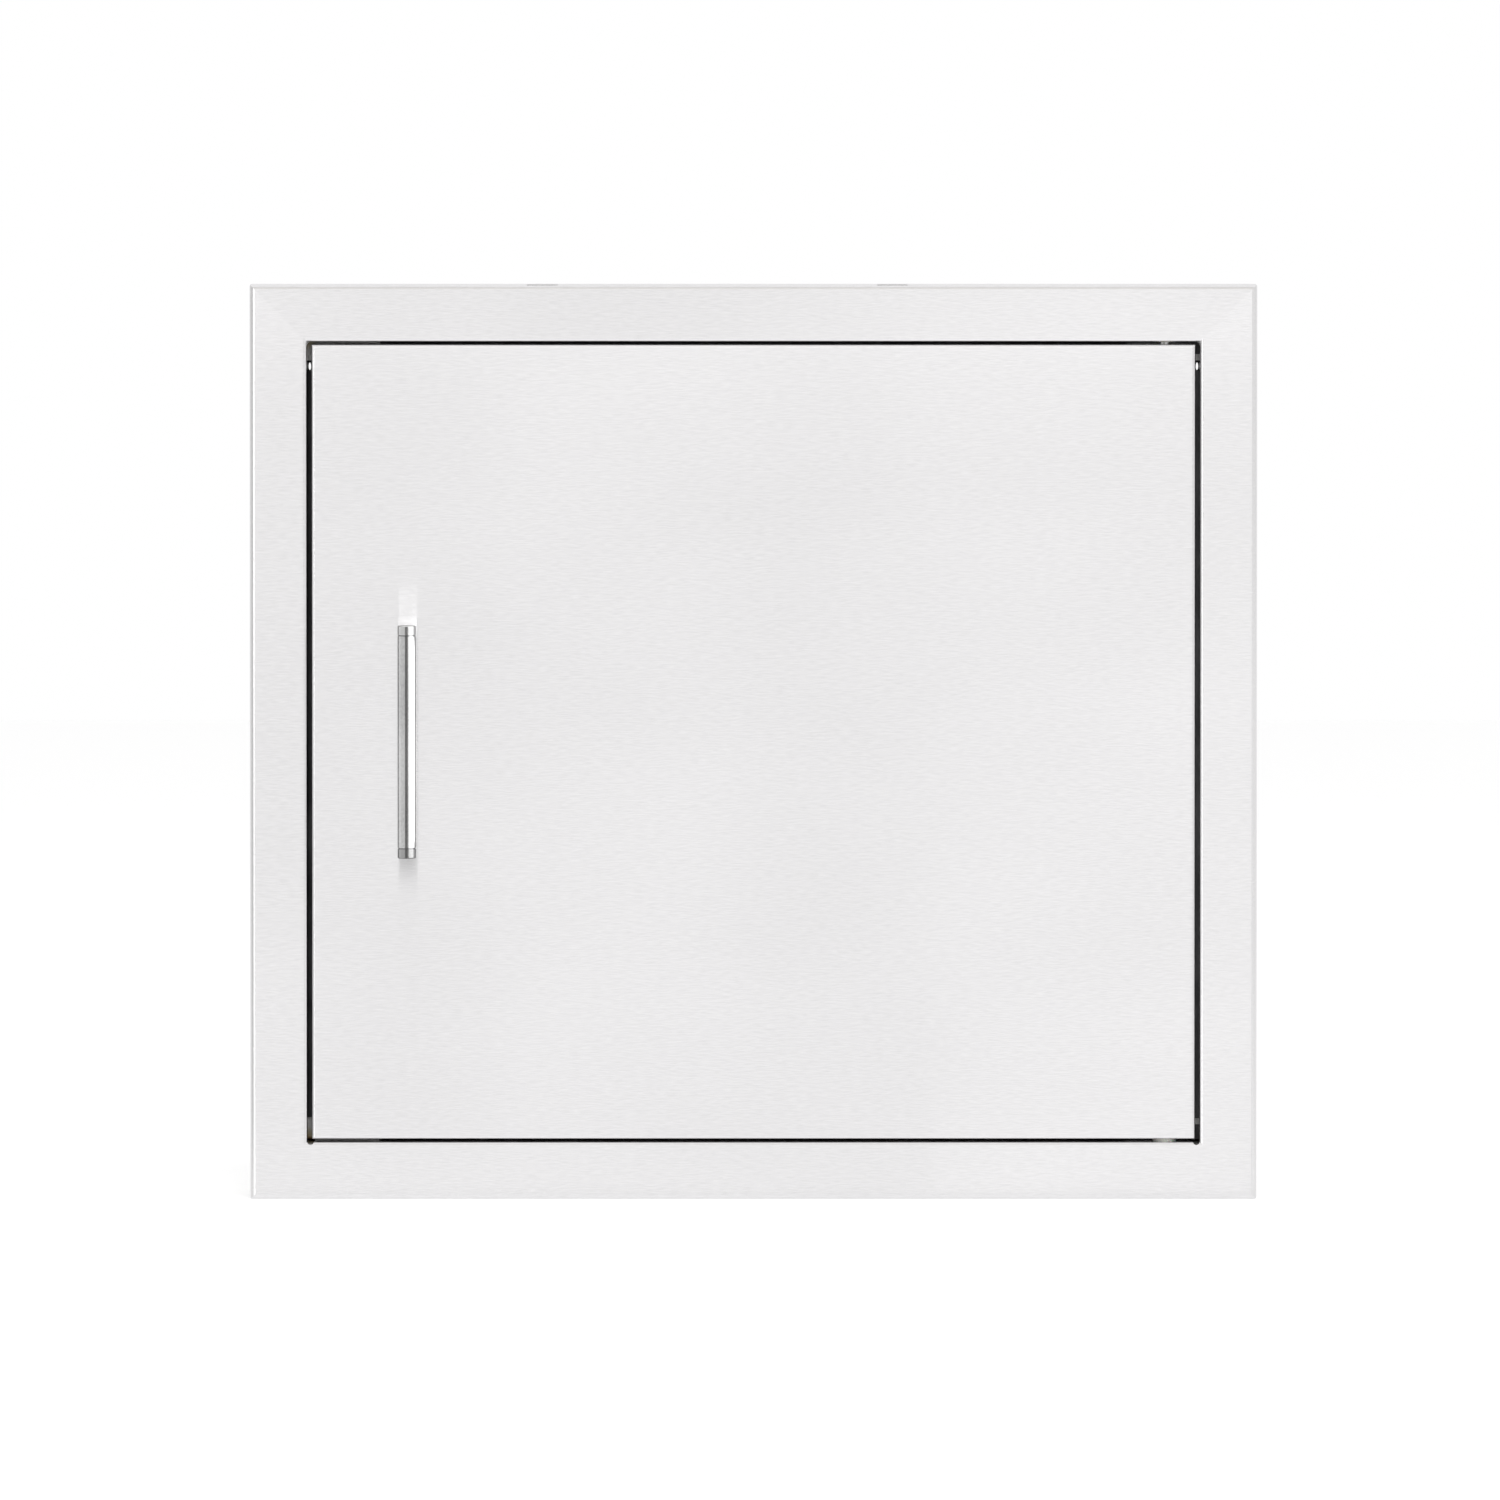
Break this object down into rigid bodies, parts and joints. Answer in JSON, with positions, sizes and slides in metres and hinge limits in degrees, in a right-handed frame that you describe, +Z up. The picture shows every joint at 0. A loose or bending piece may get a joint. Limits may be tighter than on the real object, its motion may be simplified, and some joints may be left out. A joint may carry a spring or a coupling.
{
  "type": "flush access door for an outdoor kitchen island",
  "caption": "Flush brushed stainless door in a flanged face frame with a sleeve, a bar pull, top and bottom pivots, magnetic catches and a sprung release pin.",
  "frame": {"origin": "centre of the cut-out that the sleeve goes into, in the plane of the island's face, which the lips of the face frame rest on", "axes": "+X to the right seen from in front (hinge side), +Y into the island, +Z up"},
  "size_m": [0.5588, 0.0985, 0.508],
  "materials": {
    "brushed_stainless_face": "304 stainless, number 4 finish, fine level brushing",
    "mill_stainless": "304 stainless, dull cold-rolled finish",
    "turned_stainless": "stainless, turned or drawn, satin",
    "zinc_plated_steel": "bright zinc plating",
    "spring_steel": "drawn stainless spring wire",
    "black_rubber_seal": "black closed-cell EPDM",
    "catch_plastic": "black moulded nylon",
    "ferrite_magnet": "sintered ferrite, dull dark grey",
    "acetal_bush": "natural white acetal",
    "knob_plastic": "black moulded nylon, satin"
  },
  "bodies": {
    "frame": {"top_rail": "brushed_stainless_face", "bottom_rail": "brushed_stainless_face", "latch_stile": "brushed_stainless_face", "hinge_stile": "brushed_stainless_face", "top_sleeve": "mill_stainless", "bottom_sleeve": "mill_stainless", "latch_sleeve": "mill_stainless", "hinge_sleeve": "mill_stainless", "top_stop_strip": "mill_stainless", "bottom_stop_strip": "mill_stainless", "latch_stop_strip": "mill_stainless", "hinge_stop_strip": "mill_stainless", "top_seal": "black_rubber_seal", "bottom_seal": "black_rubber_seal", "latch_seal": "black_rubber_seal", "hinge_seal": "black_rubber_seal", "upper_pivot_plate": "mill_stainless", "lower_pivot_plate": "mill_stainless", "upper_catch_bracket": "mill_stainless", "lower_catch_bracket": "mill_stainless", "upper_pivot_bush": "acetal_bush", "thrust_washer": "acetal_bush", "lower_pivot_pin": "turned_stainless", "upper_catch_body": "catch_plastic", "lower_catch_body": "catch_plastic", "upper_catch_magnet": "ferrite_magnet", "lower_catch_magnet": "ferrite_magnet", "upper_catch_poles": "zinc_plated_steel", "lower_catch_poles": "zinc_plated_steel", "catch_screws": "zinc_plated_steel"},
    "door": {"door_skin": "brushed_stainless_face", "door_liner": "mill_stainless", "door_stiffener": "mill_stainless", "upper_pivot_block": "mill_stainless", "lower_pivot_block": "mill_stainless", "handle_bar": "turned_stainless", "upper_handle_cap": "turned_stainless", "lower_handle_cap": "turned_stainless", "handle_posts": "turned_stainless", "liner_rivets": "turned_stainless", "handle_backing_plate": "zinc_plated_steel", "handle_washers": "zinc_plated_steel", "handle_screws": "zinc_plated_steel", "upper_strike_plate": "zinc_plated_steel", "lower_strike_plate": "zinc_plated_steel", "strike_rivets": "zinc_plated_steel", "lower_pivot_bush": "acetal_bush"},
    "release_pin": {"pivot_pin": "turned_stainless", "pin_clip": "turned_stainless", "release_lever": "turned_stainless", "pin_spring": "spring_steel", "release_knob": "knob_plastic"}
  },
  "joints": [
    {"name": "door_hinge", "type": "hinge", "parent": "frame", "child": "door", "pos_m": [0.228, -0.0027, 0], "axis": [0, 0, 1], "range_deg": [0, 115]},
    {"name": "pin_release", "type": "slide", "parent": "door", "child": "release_pin", "axis": [0, 0, -1], "range_m": [0, 0.0065], "stiffness_N_per_m": 600, "springref_m": -0.012, "deforming": ["pin_spring"]}
  ]
}
